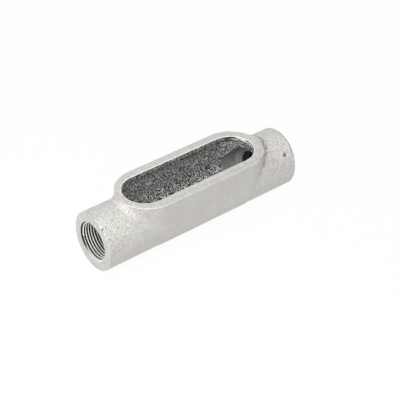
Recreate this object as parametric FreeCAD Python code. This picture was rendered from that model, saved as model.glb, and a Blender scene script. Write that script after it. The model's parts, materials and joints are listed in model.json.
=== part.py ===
import FreeCAD, Part
import math
import os
from FreeCAD import Vector as V

# Straight-through cast conduit body, one casting. All dimensions in mm.
# The frame: +X along the hubs, +Z out of the cover opening, base at Z = 0.

overall_length = 148.0

# Outside of the body: a drafted U section with round ends in plan. The
# casting's outer form sits a little off its core, towards +X. A narrow flat
# along the underside, foot_depth into the round, keeps it standing.
bottom_radius = 18.8
foot_depth = 0.4
wall_draft_deg = 5.9
end_centre_x = 32.7
outer_shift_x = 1.2
top_edge_bevel = 0.55

# Cover rim: a ground land standing a little proud of the cast shoulder.
land_half_width = 18.3
land_centre_x = 33.4
land_rise = 0.3

# Cover opening, and the wider chamber that leaves a lip under the rim.
opening_half_width = 14.7
opening_centre_x = 33.9
lip_thickness = 3.0
chamber_radius = 15.5
chamber_centre_x = 31.6

# Hubs: oval barrels, a little taller than wide, flatter on their flanks. They
# stand hub_side_step inside the body's round and hub_base_gap above its foot,
# and the cover rim lies rim_above_hub over their crowns.
hub_side_step = 0.4
hub_extra_height = 1.3
hub_flank_excess = 3.3
hub_base_gap = 0.1
hub_edge_radius = 0.8
hub_blend_radius = 5.0
rim_above_hub = 2.3

# Passage out of the chamber, bushing throat and thread hole. The thread hole
# is a plain wall at the mean crest radius of the tapered thread. Their axis
# lies bore_rise above the middle of the hub.
bore_rise = 0.3
passage_radius = 15.1
passage_end_x = 52.0
passage_corner = 1.5
throat_radius = 10.6
throat_lead_in = 1.0
thread_start_x = 59.2
thread_mouth_radius = 13.3
thread_crest_radius = 11.6

# Sizes and heights that follow from those above.
hub_half_width = bottom_radius - hub_side_step
hub_half_height = hub_half_width + hub_extra_height
hub_flank_radius = hub_half_height + hub_flank_excess
hub_middle = hub_half_height + hub_base_gap - foot_depth
axis_height = hub_middle + bore_rise
rim_height = hub_middle + hub_half_height + rim_above_hub

os.makedirs("parts", exist_ok=True)


def u_half(radius, top):
    """Half of a drafted U section in the YZ plane, from its foot to its top."""
    draft = math.radians(wall_draft_deg)
    centre = bottom_radius - foot_depth
    half = (math.pi / 2.0 - draft) / 2.0
    foot = V(0, 0, centre - radius)
    middle = V(0, radius * math.sin(half), centre - radius * math.cos(half))
    side = V(0, radius * math.cos(draft), centre - radius * math.sin(draft))
    width = radius / math.cos(draft) + (top - centre) * math.tan(draft)
    arc = Part.Arc(foot, middle, side).toShape()
    wall = Part.makeLine(side, V(0, width, top))
    lid = Part.makeLine(V(0, width, top), V(0, 0, top))
    return Part.Wire([arc, wall, lid])


def trough(radius, top, centre_x):
    """A U section drawn out along X and turned round at both ends."""
    half = u_half(radius, top)
    mirrored = half.mirror(V(0, 0, 0), V(0, 1, 0))
    section = Part.Face(Part.Wire(Part.__sortEdges__(half.Edges + mirrored.Edges)))
    section.translate(V(-centre_x, 0, 0))
    solid = section.extrude(V(2.0 * centre_x, 0, 0))
    foot = V(0, 0, bottom_radius - foot_depth - radius)
    axis = Part.makeLine(V(0, 0, top), foot)
    closed = Part.Face(Part.Wire(Part.__sortEdges__(half.Edges + [axis])))
    for side in (1, -1):
        end = closed.revolve(V(0, 0, 0), V(0, 0, 1), -180.0 * side)
        end.translate(V(side * centre_x, 0, 0))
        solid = solid.fuse(end)
    return solid.removeSplitter().Solids[0]


def slot_prism(half_width, centre_x, low, high):
    """An upright prism with straight sides and round ends."""
    a = V(-centre_x, -half_width, low)
    b = V(centre_x, -half_width, low)
    c = V(centre_x, half_width, low)
    d = V(-centre_x, half_width, low)
    right = Part.Arc(b, V(centre_x + half_width, 0, low), c).toShape()
    left = Part.Arc(d, V(-centre_x - half_width, 0, low), a).toShape()
    wire = Part.Wire([Part.makeLine(a, b), right, Part.makeLine(c, d), left])
    return Part.Face(wire).extrude(V(0, 0, high - low))


def hub_oval(side):
    """Four tangent arcs: flatter flanks, rounder crown and foot."""
    flank = hub_flank_radius
    top = hub_half_height
    width = hub_half_width
    crown = (width ** 2 + top ** 2 - 2.0 * flank * width) / (2.0 * (top - flank))
    turn = math.atan2(top - crown, flank - width)
    y = flank * math.cos(turn) - (flank - width)
    z = flank * math.sin(turn)
    spots = [(y, -z), (width, 0), (y, z), (0, top), (-y, z), (-width, 0), (-y, -z), (0, -top)]
    points = [V(side * end_centre_x, u, hub_middle + v) for u, v in spots]
    points.append(points[0])
    arcs = [Part.Arc(*points[i:i + 3]).toShape() for i in (0, 2, 4, 6)]
    return Part.Face(Part.Wire(arcs))


def hub_barrel(side):
    """One oval hub, its outer edge rounded over."""
    reach = overall_length / 2.0 - end_centre_x
    barrel = hub_oval(side).extrude(V(side * reach, 0, 0))
    tip = overall_length / 2.0 - 0.1
    rim = [e for e in barrel.Edges if abs(e.CenterOfMass.x) > tip]
    return barrel.makeFillet(hub_edge_radius, rim)


def bore_tool(side):
    """Passage, throat and thread hole of one hub as one turned shape."""
    face_x = overall_length / 2.0
    chamfer = thread_mouth_radius - thread_crest_radius
    mouth_x = face_x - chamfer
    beyond = 1.0
    profile = [
        (chamber_centre_x, 0.0),
        (chamber_centre_x, passage_radius),
        (passage_end_x - passage_corner, passage_radius),
        (passage_end_x, passage_radius - passage_corner),
        (passage_end_x, throat_radius + throat_lead_in),
        (passage_end_x + throat_lead_in, throat_radius),
        (thread_start_x, throat_radius),
        (thread_start_x, thread_crest_radius),
        (mouth_x, thread_crest_radius),
        (face_x + beyond, thread_mouth_radius + beyond),
        (face_x + beyond, 0.0),
        (chamber_centre_x, 0.0),
    ]
    face = Part.Face(Part.makePolygon([V(side * x, r, 0) for x, r in profile]))
    tool = face.revolve(V(0, 0, 0), V(1, 0, 0), 360.0)
    tool.translate(V(0, 0, axis_height))
    return tool


def is_crease(solid, edge):
    """True where the two faces at an edge meet at a visible angle."""
    faces = solid.ancestorsOfType(edge, Part.Face)
    if len(faces) != 2:
        return False
    point = edge.valueAt((edge.FirstParameter + edge.LastParameter) / 2.0)
    normals = [face.normalAt(*face.Surface.parameter(point)) for face in faces]
    return normals[0].getAngle(normals[1]) > math.radians(3.0)


def joint_edges(solid):
    """The closed loops where the hub barrels run into the body's ends."""
    tip = overall_length / 2.0 - hub_edge_radius - 0.5
    found = []
    for edge in solid.Edges:
        x = abs(edge.CenterOfMass.x)
        below_rim = edge.BoundBox.ZMax < rim_height
        if end_centre_x < x < tip and below_rim and is_crease(solid, edge):
            found.append(edge)
    return found


def shoulder_edges(solid, level):
    """The outline of the flat top, where it meets the walls."""
    return [e for e in solid.Edges if abs(e.BoundBox.ZMin - level) < 0.01
            and abs(e.BoundBox.ZMax - level) < 0.01]


def casting_outside():
    """Body and hubs blended together, cut off at the rim and bevelled."""
    headroom = 14.0
    solid = trough(bottom_radius, rim_height + headroom, end_centre_x)
    solid.translate(V(outer_shift_x, 0, 0))
    for side in (1, -1):
        solid = solid.fuse(hub_barrel(side))
    solid = solid.removeSplitter().Solids[0]
    solid = solid.makeFillet(hub_blend_radius, joint_edges(solid)).Solids[0]
    shoulder = rim_height - land_rise
    span = 2.0 * overall_length
    kept = Part.makeBox(span, span, shoulder, V(-span / 2.0, -span / 2.0, 0))
    solid = solid.common(kept).removeSplitter().Solids[0]
    solid = solid.makeChamfer(top_edge_bevel, shoulder_edges(solid, shoulder))
    land = slot_prism(land_half_width, land_centre_x, shoulder - 1.0, rim_height)
    land.translate(V(outer_shift_x, 0, 0))
    return solid.fuse(land).removeSplitter().Solids[0]


def casting():
    """The whole one-piece body with its chamber, opening and bores."""
    solid = casting_outside()
    under_lip = rim_height - lip_thickness
    overlap = 1.0
    tools = [
        trough(chamber_radius, under_lip, chamber_centre_x),
        slot_prism(opening_half_width, opening_centre_x, under_lip - overlap, rim_height + overlap),
        bore_tool(1),
        bore_tool(-1),
    ]
    for tool in tools:
        solid = solid.cut(tool)
    return solid.removeSplitter().Solids[0]


conduit_body = casting()
conduit_body.exportStep("parts/conduit_body.step")
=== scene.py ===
import json
from math import cos, pi, radians, sin

import bmesh
import bpy
from mathutils import Matrix, Vector
from mathutils.bvhtree import BVHTree


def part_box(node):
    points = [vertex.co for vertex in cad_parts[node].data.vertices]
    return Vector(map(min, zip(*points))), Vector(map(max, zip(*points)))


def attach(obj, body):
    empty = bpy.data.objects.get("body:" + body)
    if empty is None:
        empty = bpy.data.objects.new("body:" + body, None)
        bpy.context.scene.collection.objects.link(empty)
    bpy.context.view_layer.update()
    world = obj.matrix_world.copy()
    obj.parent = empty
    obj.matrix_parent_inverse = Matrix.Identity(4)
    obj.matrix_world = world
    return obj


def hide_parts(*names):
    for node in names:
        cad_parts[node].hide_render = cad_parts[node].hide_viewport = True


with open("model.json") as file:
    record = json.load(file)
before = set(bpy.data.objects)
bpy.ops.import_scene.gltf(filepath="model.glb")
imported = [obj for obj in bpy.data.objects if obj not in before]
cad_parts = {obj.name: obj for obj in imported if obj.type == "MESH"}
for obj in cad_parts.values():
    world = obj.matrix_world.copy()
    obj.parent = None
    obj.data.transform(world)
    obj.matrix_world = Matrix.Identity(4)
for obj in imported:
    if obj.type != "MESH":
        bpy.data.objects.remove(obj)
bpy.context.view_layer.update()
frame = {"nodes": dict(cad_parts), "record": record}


# ---------------------------------------------------------------- the casting
# One piece of sand-cast iron: a round-bottomed wiring chamber with a ground
# cover rim on top and a hub at each end. The mould leaves a fine skin all over
# and the odd gas pit, and the inside stays dark and grainy.

lowest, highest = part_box("conduit_body")
mounts = {mount["name"]: mount for mount in frame["record"]["mounts"]}
face_x = highest.x
rim_z = highest.z
axis_z = mounts["hub_plus_x"]["pos_m"][2]
same_place = 1e-5

# Each face carries the number of its finish.
COAT, INSIDE, BORED, LIP, GROUND, EDGE, THREAD, RUBBED, DARK_PATCHED_EDGE, SHADED_CREASE = range(10)

casting = bmesh.new()
casting.verts.layers.float.new("groove")
casting.from_mesh(frame["nodes"]["conduit_body"].data)
bmesh.ops.remove_doubles(casting, verts=casting.verts, dist=same_place)


def off_axis(place):
    """The arm from the hubs' axis out to a place."""
    return Vector((0, place.y, place.z - axis_z))


# The conduit threads. A tapered thread is cut in each hub after casting, with
# sixty degree flanks, right-handed at both ends, and its mouth is countersunk
# at forty five degrees. The profile is given in shares of the pitch along and
# of the depth down. Each vertex is marked with its depth, for the finish.

thread_pitch = 0.0254 / 14
thread_depth = 0.8 * thread_pitch
thread_mouth_radius = 0.0133
thread_start_x = 0.0592
thread_taper = 1 / 32
thread_profile = ((0, 0), (0.038, 0), (0.269, 0.5), (0.5, 1), (0.538, 1), (0.769, 0.5), (1, 0))
steps_per_turn = 120
countersunk_mark = 0.33
groove_fade = 0.0011


def cut_out_thread_holes(mesh):
    """Removes both plain thread holes, their inner steps and the flat end faces."""
    def is_cut_out(face):
        middle = face.calc_center_median()
        at_end = abs(middle.x) > face_x - same_place
        return at_end or (abs(middle.x) > thread_start_x - same_place
                          and off_axis(middle).length < thread_mouth_radius + same_place)

    doomed = [face for face in mesh.faces if is_cut_out(face)]
    bmesh.ops.delete(mesh, geom=doomed, context="FACES")


def thread_sleeve():
    """The thread's surface in the +X hub, trimmed to the ends of its hole."""
    sleeve = bmesh.new()
    depth_mark = sleeve.verts.layers.float.new("groove")
    first_x = thread_start_x - 2 * thread_pitch
    turns = int((face_x - first_x) / thread_pitch) + 2
    crest = thread_mouth_radius - thread_depth
    points = []
    for along, down in thread_profile:
        x = first_x + along * thread_pitch
        z = axis_z + crest + down * thread_depth
        points.append(sleeve.verts.new((x, 0, z)))
    edges = [sleeve.edges.new(pair) for pair in zip(points, points[1:])]
    bmesh.ops.spin(
        sleeve, geom=points + edges, cent=(0, 0, axis_z), axis=(1, 0, 0),
        dvec=(thread_pitch / steps_per_turn, 0, 0), angle=2 * pi * turns,
        steps=steps_per_turn * turns)
    bmesh.ops.remove_doubles(sleeve, verts=sleeve.verts, dist=same_place)
    for vert in sleeve.verts:
        arm = off_axis(vert.co)
        inset = face_x - vert.co.x
        narrowing = inset * thread_taper
        countersink = thread_mouth_radius - inset
        radius = max(arm.length - narrowing, countersink)
        # The mark, faded towards the mouth, is what the thread's finish turns into painted
        # highlights and painted shade.
        vert[depth_mark] = (arm.length - crest) / thread_depth * min(1, inset / groove_fade)
        if radius == countersink:
            vert[depth_mark] = countersunk_mark
        vert.co += arm.normalized() * (radius - arm.length)
    for face in sleeve.faces:
        face.material_index = THREAD
    for cut_x, outwards in ((face_x, 1), (thread_start_x, -1)):
        bmesh.ops.bisect_plane(
            sleeve, geom=sleeve.verts[:] + sleeve.edges[:] + sleeve.faces[:],
            plane_co=(cut_x, 0, 0), plane_no=(outwards, 0, 0), clear_outer=True)
    return sleeve


def fill_ring(mesh, ring_x):
    """Closes the flat ring between the two open loops at one place along X."""
    edges = [edge for edge in mesh.edges if edge.is_boundary
             and all(abs(vert.co.x - ring_x) < same_place for vert in edge.verts)]
    bmesh.ops.triangle_fill(mesh, edges=edges, use_beauty=True)


cut_out_thread_holes(casting)
sleeve = thread_sleeve()
sleeve_mesh = bpy.data.meshes.new("thread_sleeve")
for half_turns in (0, 1):
    bmesh.ops.rotate(
        sleeve, verts=sleeve.verts, cent=(0, 0, 0),
        matrix=Matrix.Rotation(pi * half_turns, 3, "Z"))
    sleeve.to_mesh(sleeve_mesh)
    casting.from_mesh(sleeve_mesh)
sleeve.free()
bpy.data.meshes.remove(sleeve_mesh)
for end in (-1, 1):
    fill_ring(casting, end * face_x)
    fill_ring(casting, end * thread_start_x)
bmesh.ops.recalc_face_normals(casting, faces=casting.faces)
threads = {face for face in casting.faces if face.material_index == THREAD}
ground = {face for face in casting.faces
          if abs(face.calc_center_median().z - rim_z) < same_place
          or abs(face.calc_center_median().x) > face_x - same_place}


def spread(start, barrier):
    """All faces joined to the first one without crossing the barrier."""
    found = {start}
    waiting = [start]
    while waiting:
        face = waiting.pop()
        for edge in face.edges:
            for neighbour in edge.link_faces:
                if neighbour not in found and neighbour not in barrier:
                    found.add(neighbour)
                    waiting.append(neighbour)
    return found


# Every face gets its finish. The inside is what joins the chamber's floor without
# crossing a thread or a ground face.

passage_reach = 0.0153
lip_thickness = 0.003
nearly_level = 0.9
low_inside = [face for face in casting.faces
              if face.normal.z > nearly_level and face.calc_center_median().z < axis_z / 2]
chamber_floor = min(low_inside, key=lambda face: face.calc_center_median().xy.length)
inside = spread(chamber_floor, threads | ground)
for face in casting.faces:
    face.smooth = True
for face in inside:
    middle = face.calc_center_median()
    face.material_index = INSIDE
    if off_axis(middle).length < passage_reach:
        face.material_index = BORED
    elif middle.z > rim_z - lip_thickness - same_place:
        face.material_index = LIP
for face in ground:
    face.material_index = GROUND

# Above the axis the -X hub's rounded edge is worn and the +X hub's has dark patches,
# and the blend faces that lean both along +X and upwards are the crease, given painted shade.

hub_edge = 0.0008
worn_above = 0.008
shaded_above = 0.005
crease_slope = 0.12
for face in set(casting.faces) - threads - ground - inside:
    middle = face.calc_center_median()
    above = middle.z - axis_z
    face.material_index = COAT
    if abs(middle.x) > face_x - hub_edge:
        if above > worn_above:
            face.material_index = RUBBED if middle.x < 0 else DARK_PATCHED_EDGE
    elif above > shaded_above and min(face.normal.xz) > crease_slope:
        face.material_index = SHADED_CREASE


# The opening's upper edge is broken all round by the grinding of the rim.

edge_break = 0.00035
opening_edges = [
    edge for edge in casting.edges
    if {face.material_index for face in edge.link_faces} == {LIP, GROUND}]
# The broken edge's faces take the near-white finish, a painted highlight.
bmesh.ops.bevel(
    casting, geom=opening_edges, offset=edge_break, segments=2, profile=0.5,
    affect="EDGES", material=EDGE)


# Two gas pits were left in the hubs' skin: one on the shoulder of the +X hub and
# one beside the end face of the -X hub, both towards the front. Each is given by
# its place along X, its turn from upright in degrees, half the width of the patch
# that is cut finer for it, and its depth.

pits = ((0.0672, 53, 0.0023, 0.0011), (-0.0733, 35, 0.0014, 0.0007))
pit_cuts = 8
pit_cut_tolerance = 1e-7
pit_facing = 0.6
pit_bare_share = 0.55
pit_rim_share = 0.9


def gas_pit(mesh, place, patch, depth):
    """Sinks a small round-edged hollow into the hub's skin at a place on it."""
    along = Vector((1, 0, 0))
    inwards = -off_axis(place).normalized()
    near = [face for face in mesh.faces
            if face.normal.dot(-inwards) > pit_facing
            and min(vert.co.x for vert in face.verts) < place.x + patch
            and max(vert.co.x for vert in face.verts) > place.x - patch
            and min((vert.co - place).cross(along).length for vert in face.verts) < 2 * patch]
    for direction in (along, inwards.cross(along)):
        for step in range(-pit_cuts, pit_cuts + 1):
            edges = [edge for face in near for edge in face.edges]
            verts = [vert for face in near for vert in face.verts]
            cut = bmesh.ops.bisect_plane(
                mesh, geom=list(dict.fromkeys(near + edges + verts)), dist=pit_cut_tolerance,
                plane_co=place + direction * (step * patch / pit_cuts), plane_no=direction)
            near = [part for part in cut["geom"] if isinstance(part, bmesh.types.BMFace)]
    for face in near:
        if (face.calc_center_median() - place).length < pit_bare_share * patch:
            face.material_index = INSIDE
    for vert in {vert for face in near for vert in face.verts}:
        reach = (vert.co - place).length / (pit_rim_share * patch)
        if reach < 1:
            vert.co += inwards * depth * (1 - reach ** 2) ** 2


skin = BVHTree.FromBMesh(casting)
for pit_x, pit_turn, pit_patch, pit_depth in pits:
    arm = Vector((0, -sin(radians(pit_turn)), cos(radians(pit_turn))))
    outside = Vector((pit_x, 0, axis_z)) + arm
    place = skin.ray_cast(outside, -arm)[0]
    gas_pit(casting, place, pit_patch, pit_depth)


# The cast surfaces shade smoothly, and the machined edges stay crisp.

crisp_angle = radians(24)
for edge in casting.edges:
    edge.smooth = edge.calc_face_angle(0) < crisp_angle

body_mesh = bpy.data.meshes.new("cast_body")
casting.to_mesh(body_mesh)
casting.free()
cast_body = bpy.data.objects.new("cast_body", body_mesh)
bpy.context.scene.collection.objects.link(cast_body)
flats = cast_body.modifiers.new("flats_stay_flat", "WEIGHTED_NORMAL")
flats.keep_sharp = True


# The finishes are procedural, on the piece's own coordinates. A Mix node's colour
# sockets are told apart only by their numbers.

mix_first, mix_second, mix_result = 6, 7, 2
warmth = 0.975


def finish_material(name, colour, roughness, metallic=0.0):
    """A named finish with its plain values set. Returns its tree, shader and place."""
    material = bpy.data.materials.new(name)
    material.use_nodes = True
    tree = material.node_tree
    shader = tree.nodes["Principled BSDF"]
    shader.inputs["Base Color"].default_value = (*colour, 1)
    shader.inputs["Roughness"].default_value = roughness
    shader.inputs["Metallic"].default_value = metallic
    place = tree.nodes.new("ShaderNodeTexCoord").outputs["Object"]
    body_mesh.materials.append(material)
    return tree, shader, place


def grain(tree, place, size, detail=2.0):
    """Noise with lumps of about that size in metres."""
    texture = tree.nodes.new("ShaderNodeTexNoise")
    texture.inputs["Scale"].default_value = 1 / size
    texture.inputs["Detail"].default_value = detail
    texture.inputs["Roughness"].default_value = 0.6
    tree.links.new(place, texture.inputs["Vector"])
    return texture.outputs["Fac"]


def tones(tree, factor, *stops):
    """A colour ramp of (position, colour) stops."""
    ramp = tree.nodes.new("ShaderNodeValToRGB")
    elements = ramp.color_ramp.elements
    while len(elements) < len(stops):
        elements.new(0.5)
    for element, (position, colour) in zip(elements, stops):
        element.position = position
        element.color = (*colour, 1)
    tree.links.new(factor, ramp.inputs["Fac"])
    return ramp.outputs["Color"]


def times(tree, colour, other):
    """One colour multiplied by another."""
    mix = tree.nodes.new("ShaderNodeMix")
    mix.data_type = "RGBA"
    mix.blend_type = "MULTIPLY"
    mix.inputs["Factor"].default_value = 1
    tree.links.new(colour, mix.inputs[mix_first])
    tree.links.new(other, mix.inputs[mix_second])
    return mix.outputs[mix_result]


def relief(tree, shader, *layers):
    """Bump from (height, depth in metres) layers, each over the one before."""
    normal = None
    for height, depth in layers:
        layer = tree.nodes.new("ShaderNodeBump")
        layer.inputs["Distance"].default_value = depth
        tree.links.new(height, layer.inputs["Height"])
        if normal:
            tree.links.new(normal, layer.inputs["Normal"])
        normal = layer.outputs["Normal"]
    tree.links.new(normal, shader.inputs["Normal"])


def axis_part(tree, place, axis, low, high):
    """How far out along one axis, either way, from 0 at low to 1 at high."""
    parts = tree.nodes.new("ShaderNodeSeparateXYZ")
    tree.links.new(place, parts.inputs["Vector"])
    reach = tree.nodes.new("ShaderNodeMath")
    reach.operation = "ABSOLUTE"
    tree.links.new(parts.outputs[axis], reach.inputs[0])
    share = tree.nodes.new("ShaderNodeMapRange")
    share.inputs["From Min"].default_value = low
    share.inputs["From Max"].default_value = high
    tree.links.new(reach.outputs[0], share.inputs["Value"])
    return share.outputs["Result"]


def blended(tree, share, first, second):
    """From the first colour at 0 to the second at 1."""
    mix = tree.nodes.new("ShaderNodeMix")
    mix.data_type = "RGBA"
    tree.links.new(share, mix.inputs["Factor"])
    tree.links.new(first, mix.inputs[mix_first])
    tree.links.new(second, mix.inputs[mix_second])
    return mix.outputs[mix_result]


def greys(*stops):
    """Ramp stops in nearly neutral, slightly warm greys."""
    return [(position, (value, value, warmth * value)) for position, value in stops]


def coated(name):
    """Thin grey zinc coat: faint clouds, and grain that is stronger on the hubs.

    Returns its tree, shader, place and colour, which isn't linked yet.
    """
    tree, shader, place = finish_material(name, (0.56, 0.55, 0.51), 0.42, 0.2)
    clouds = tones(tree, grain(tree, place, 0.02),
                   (0.38, (0.63, 0.595, 0.59)), (0.62, (0.635, 0.635, 0.605)))
    fine = grain(tree, place, 0.00085)
    calm = tones(tree, fine, *greys((0.3, 0.76), (0.5, 0.88), (0.7, 0.97)))
    rough = tones(tree, fine, *greys((0.34, 0.53), (0.44, 0.86), (0.56, 0.96), (0.66, 1.1)))
    hubs = axis_part(tree, place, "X", 0.035, 0.055)
    upper = axis_part(tree, place, "Z", 0.012, 0.03)
    specks = blended(tree, hubs, calm, blended(tree, upper, calm, rough))
    relief(tree, shader, (grain(tree, place, 0.006), 0.0008), (fine, 0.0006))
    return tree, shader, place, times(tree, clouds, specks)


def coat():
    """The clean coat that covers nearly all of the outside."""
    tree, shader, place, colour = coated("grey_coat")
    tree.links.new(colour, shader.inputs["Base Color"])


def shaded_crease():
    """The coat in the crease above the +X hub, darkened in patches as painted shade."""
    tree, shader, place, colour = coated("shaded_crease")
    # Painted shade: dark patches in the colour stand in for the shade in the crease.
    dark_patches = tones(tree, grain(tree, place, 0.002), *greys((0.4, 0.42), (0.56, 0.95)))
    tree.links.new(times(tree, colour, dark_patches), shader.inputs["Base Color"])


def sandy(tree, place):
    """Bare grainy iron: calm high on the walls, black and white further down."""
    sand = grain(tree, place, 0.0009, 1)
    high = tones(tree, sand, *greys((0.36, 0.03), (0.5, 0.18), (0.64, 0.55)))
    low = tones(tree, sand, *greys((0.4, 0.005), (0.49, 0.12), (0.54, 0.4), (0.6, 1.0)))
    return blended(tree, axis_part(tree, place, "Z", 0.015, 0.024), low, high)


def bare_inside():
    """Nearly bare iron: dark and rough, most of all low in the chamber."""
    tree, shader, place = finish_material("bare_inside", (0.1, 0.1, 0.097), 0.5)
    tree.links.new(sandy(tree, place), shader.inputs["Base Color"])
    relief(tree, shader, (grain(tree, place, 0.0014), 0.0006))


def bored_passage():
    """The smooth cored passages, and the throats behind them coloured near black as painted
    shade.
    """
    tree, shader, place = finish_material("bored_passage", (0.2, 0.2, 0.19), 0.45)
    clouds = grain(tree, place, 0.004)
    passage = tones(tree, clouds, *greys((0.35, 0.24), (0.65, 0.31)))
    # Painted shade: the throats are coloured near black for the shade deep in the through hole.
    throat_shade = tones(tree, clouds, *greys((0.35, 0.01), (0.65, 0.035)))
    mouth = axis_part(tree, place, "X", 0.0375, 0.0405)
    deep = axis_part(tree, place, "X", 0.0526, 0.0534)
    near = blended(tree, mouth, sandy(tree, place), passage)
    tree.links.new(blended(tree, deep, near, throat_shade), shader.inputs["Base Color"])
    relief(tree, shader, (grain(tree, place, 0.0015), 0.0001))


def lip_wall():
    """The opening's upright wall, with chatter marks at its round ends whose near-white streaks
    are painted highlights.
    """
    tree, shader, place = finish_material("lip_wall", (0.3, 0.3, 0.29), 0.4)
    stretch = tree.nodes.new("ShaderNodeMapping")
    stretch.inputs["Scale"].default_value = (0.12, 0.12, 1.0)
    tree.links.new(place, stretch.inputs["Vector"])
    marks = grain(tree, stretch.outputs["Vector"], 0.0011, 1)
    # The near-white stop is a painted highlight along the marks.
    ends = tones(tree, marks, *greys((0.42, 0.04), (0.5, 0.3), (0.58, 0.95)))
    at_end = axis_part(tree, place, "X", 0.036, 0.043)
    tree.links.new(blended(tree, at_end, sandy(tree, place), ends), shader.inputs["Base Color"])
    relief(tree, shader, (marks, 0.0002))


def ground_faces():
    """The cover rim and the hubs' ends, faced off flat and only thinly coated."""
    tree, shader, place = finish_material("ground_faces", (0.52, 0.53, 0.5), 0.45)
    worn = tones(tree, grain(tree, place, 0.003, 3),
                 (0.35, (0.44, 0.45, 0.425)), (0.65, (0.55, 0.56, 0.535)))
    tree.links.new(worn, shader.inputs["Base Color"])
    relief(tree, shader, (grain(tree, place, 0.0012), 0.0003))


def painted_edge_highlight():
    """Where the grinding broke the opening's edge: ground metal, coloured near white as a
    painted highlight.
    """
    # Painted highlight: the broken edge is coloured nearly white, lighter than the ground rim
    # beside it.
    tree, shader, place = finish_material("painted_edge_highlight", (0.95, 0.95, 0.94), 0.35)
    relief(tree, shader, (grain(tree, place, 0.0012), 0.0001))


def cut_thread():
    """Painted light and shade on the thread: near-white crests as painted highlights, matt
    grooves near black as painted shade, painted shade deep inside and painted light low down.
    """
    tree, shader, place = finish_material("cut_thread", (0.5, 0.5, 0.5), 0.3)
    crest_mark = 0.26
    groove_mark = 0.44
    mark = tree.nodes.new("ShaderNodeAttribute")
    mark.attribute_name = "groove"
    depth = mark.outputs["Fac"]
    # Painted highlights on the crests and painted shade in the grooves, by the depth mark.
    clean = tones(tree, depth,
                  *greys((0.0, 0.98), (crest_mark, 0.9), (groove_mark, 0.03), (1.0, 0.006)))
    # Painted light low in the bore, where the lamp reaches: paler grooves and duller crests.
    lit_low_thread = tones(tree, depth, *greys((0.0, 0.6), (0.3, 0.55), (0.5, 0.16), (1.0, 0.07)))
    colour = blended(tree, axis_part(tree, place, "Z", 0.0066, 0.0105), lit_low_thread, clean)
    # Painted shade deeper in the bore, darkest where the thread starts.
    outer = axis_part(tree, place, "X", 0.0597, 0.0665)
    deep_shade = tones(tree, outer, *greys((0.0, 0.1), (1.0, 1.0)))
    tree.links.new(times(tree, colour, deep_shade), shader.inputs["Base Color"])
    shine = tree.nodes.new("ShaderNodeMapRange")
    shine.inputs["From Min"].default_value = crest_mark
    shine.inputs["From Max"].default_value = groove_mark
    shine.inputs["To Min"].default_value = 0.5
    shine.inputs["To Max"].default_value = 0.0
    tree.links.new(depth, shine.inputs["Value"])
    tree.links.new(shine.outputs["Result"], shader.inputs["Specular IOR Level"])
    relief(tree, shader, (grain(tree, place, 0.001), 0.00005))


def rubbed_edge():
    """The -X hub's rounded edge, where handling has rubbed the coat to metal."""
    tree, shader, place = finish_material("rubbed_edge", (0.75, 0.75, 0.73), 0.42, 0.25)
    worn = tones(tree, grain(tree, place, 0.0016), *greys((0.45, 0.42), (0.62, 0.66)))
    tree.links.new(worn, shader.inputs["Base Color"])
    relief(tree, shader, (grain(tree, place, 0.0016), 0.0003))


def dark_patched_edge():
    """The +X hub's rounded edge, rough and darkened in patches."""
    tree, shader, place = finish_material("dark_patched_edge", (0.5, 0.5, 0.48), 0.5)
    dark_patches = tones(tree, grain(tree, place, 0.004), *greys((0.48, 0.01), (0.56, 0.42)))
    tree.links.new(dark_patches, shader.inputs["Base Color"])
    relief(tree, shader, (grain(tree, place, 0.0016), 0.0003))


# The finishes are made in the order of their numbers, from the coat to the crease with its
# painted shade.

for finish in (coat, bare_inside, bored_passage, lip_wall, ground_faces, painted_edge_highlight,
               cut_thread, rubbed_edge, dark_patched_edge, shaded_crease):
    finish()
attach(cast_body, "root")
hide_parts("conduit_body")


# ---------------------------------------------------------------- the backdrop
# A white sheet under the casting, inside a white tent. The sheet looks pure
# white, and keeps only the faintest shadow round the foot.

floor_half = 3.0
floor_gap = 0.00005
floor_glow = 0.95
tent_glow = 0.58


def shown(tree):
    """1 where the backdrop is seen directly, mirrored or through glass, else 0."""
    path = tree.nodes.new("ShaderNodeLightPath")
    share = path.outputs["Is Camera Ray"]
    for ray in ("Is Glossy Ray", "Is Transmission Ray"):
        either = tree.nodes.new("ShaderNodeMath")
        either.operation = "MAXIMUM"
        tree.links.new(share, either.inputs[0])
        tree.links.new(path.outputs[ray], either.inputs[1])
        share = either.outputs[0]
    return share


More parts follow.
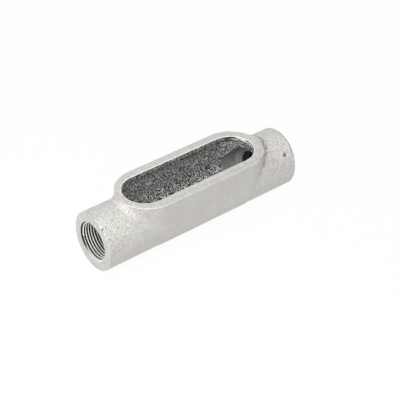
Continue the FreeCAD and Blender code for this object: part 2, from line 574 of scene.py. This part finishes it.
bpy.ops.mesh.primitive_plane_add(size=2 * floor_half, location=(0, 0, lowest.z - floor_gap))
floor = bpy.context.object
floor.name = "floor"
sheet = bpy.data.materials.new("white_sheet")
sheet.use_nodes = True
tree = sheet.node_tree
matt = tree.nodes["Principled BSDF"]
matt.inputs["Base Color"].default_value = (0.8, 0.8, 0.8, 1)
matt.inputs["Roughness"].default_value = 1.0
matt.inputs["Specular IOR Level"].default_value = 0.0
share = tree.nodes.new("ShaderNodeMapRange")
share.inputs["To Max"].default_value = floor_glow
glow = tree.nodes.new("ShaderNodeEmission")
mix = tree.nodes.new("ShaderNodeMixShader")
tree.links.new(shown(tree), share.inputs["Value"])
tree.links.new(share.outputs["Result"], mix.inputs["Fac"])
tree.links.new(matt.outputs["BSDF"], mix.inputs[1])
tree.links.new(glow.outputs["Emission"], mix.inputs[2])
tree.links.new(mix.outputs["Shader"], tree.nodes["Material Output"].inputs["Surface"])
floor.data.materials.append(sheet)

tent = bpy.data.worlds.new("tent")
bpy.context.scene.world = tent
tent.use_nodes = True
tree = tent.node_tree
background = tree.nodes["Background"]
background.inputs["Color"].default_value = (1, 1, 1, 1)
strength = tree.nodes.new("ShaderNodeMapRange")
strength.inputs["To Min"].default_value = tent_glow
tree.links.new(shown(tree), strength.inputs["Value"])
tree.links.new(strength.outputs["Result"], background.inputs["Strength"])


# ------------------------------------------------------------------ the lights
# A wide soft lamp high on the left, and a smaller one near the -X end.

def soft_lamp(name, place, aim, size, power):
    """A square soft lamp, pointed at a place."""
    lamp = bpy.data.lights.new(name, "AREA")
    lamp.size = size
    lamp.energy = power
    holder = bpy.data.objects.new(name, lamp)
    bpy.context.scene.collection.objects.link(holder)
    holder.location = place
    holder.rotation_euler = (Vector(aim) - Vector(place)).to_track_quat("-Z", "Y").to_euler()


soft_lamp("high_lamp", place=(-0.5, -0.6, 1.0), aim=(0, 0, 0.02), size=0.8, power=8.8)
soft_lamp("end_lamp", place=(-0.36, -0.06, 0.36), aim=(-0.05, 0, 0.02), size=0.2, power=0.8)


# ------------------------------------------------------------------ the camera
# A long lens looks down on the casting from the front left, with a slight roll.

camera_turn = radians(-38.89)
camera_height = radians(37.51)
camera_roll = radians(0.79)
camera_distance = 0.786
camera_aim = Vector((0.00458, -0.00549, 0.01787))
lens = bpy.data.cameras.new("camera")
lens.lens = 111.7
lens.sensor_width = 36
camera = bpy.data.objects.new("camera", lens)
bpy.context.scene.collection.objects.link(camera)
camera.matrix_world = (
    Matrix.Translation(camera_aim)
    @ Matrix.Rotation(camera_turn, 4, "Z")
    @ Matrix.Rotation(pi / 2 - camera_height, 4, "X")
    @ Matrix.Rotation(camera_roll, 4, "Z")
    @ Matrix.Translation((0, 0, camera_distance)))
bpy.context.scene.camera = camera
bpy.context.scene.view_settings.view_transform = "Standard"
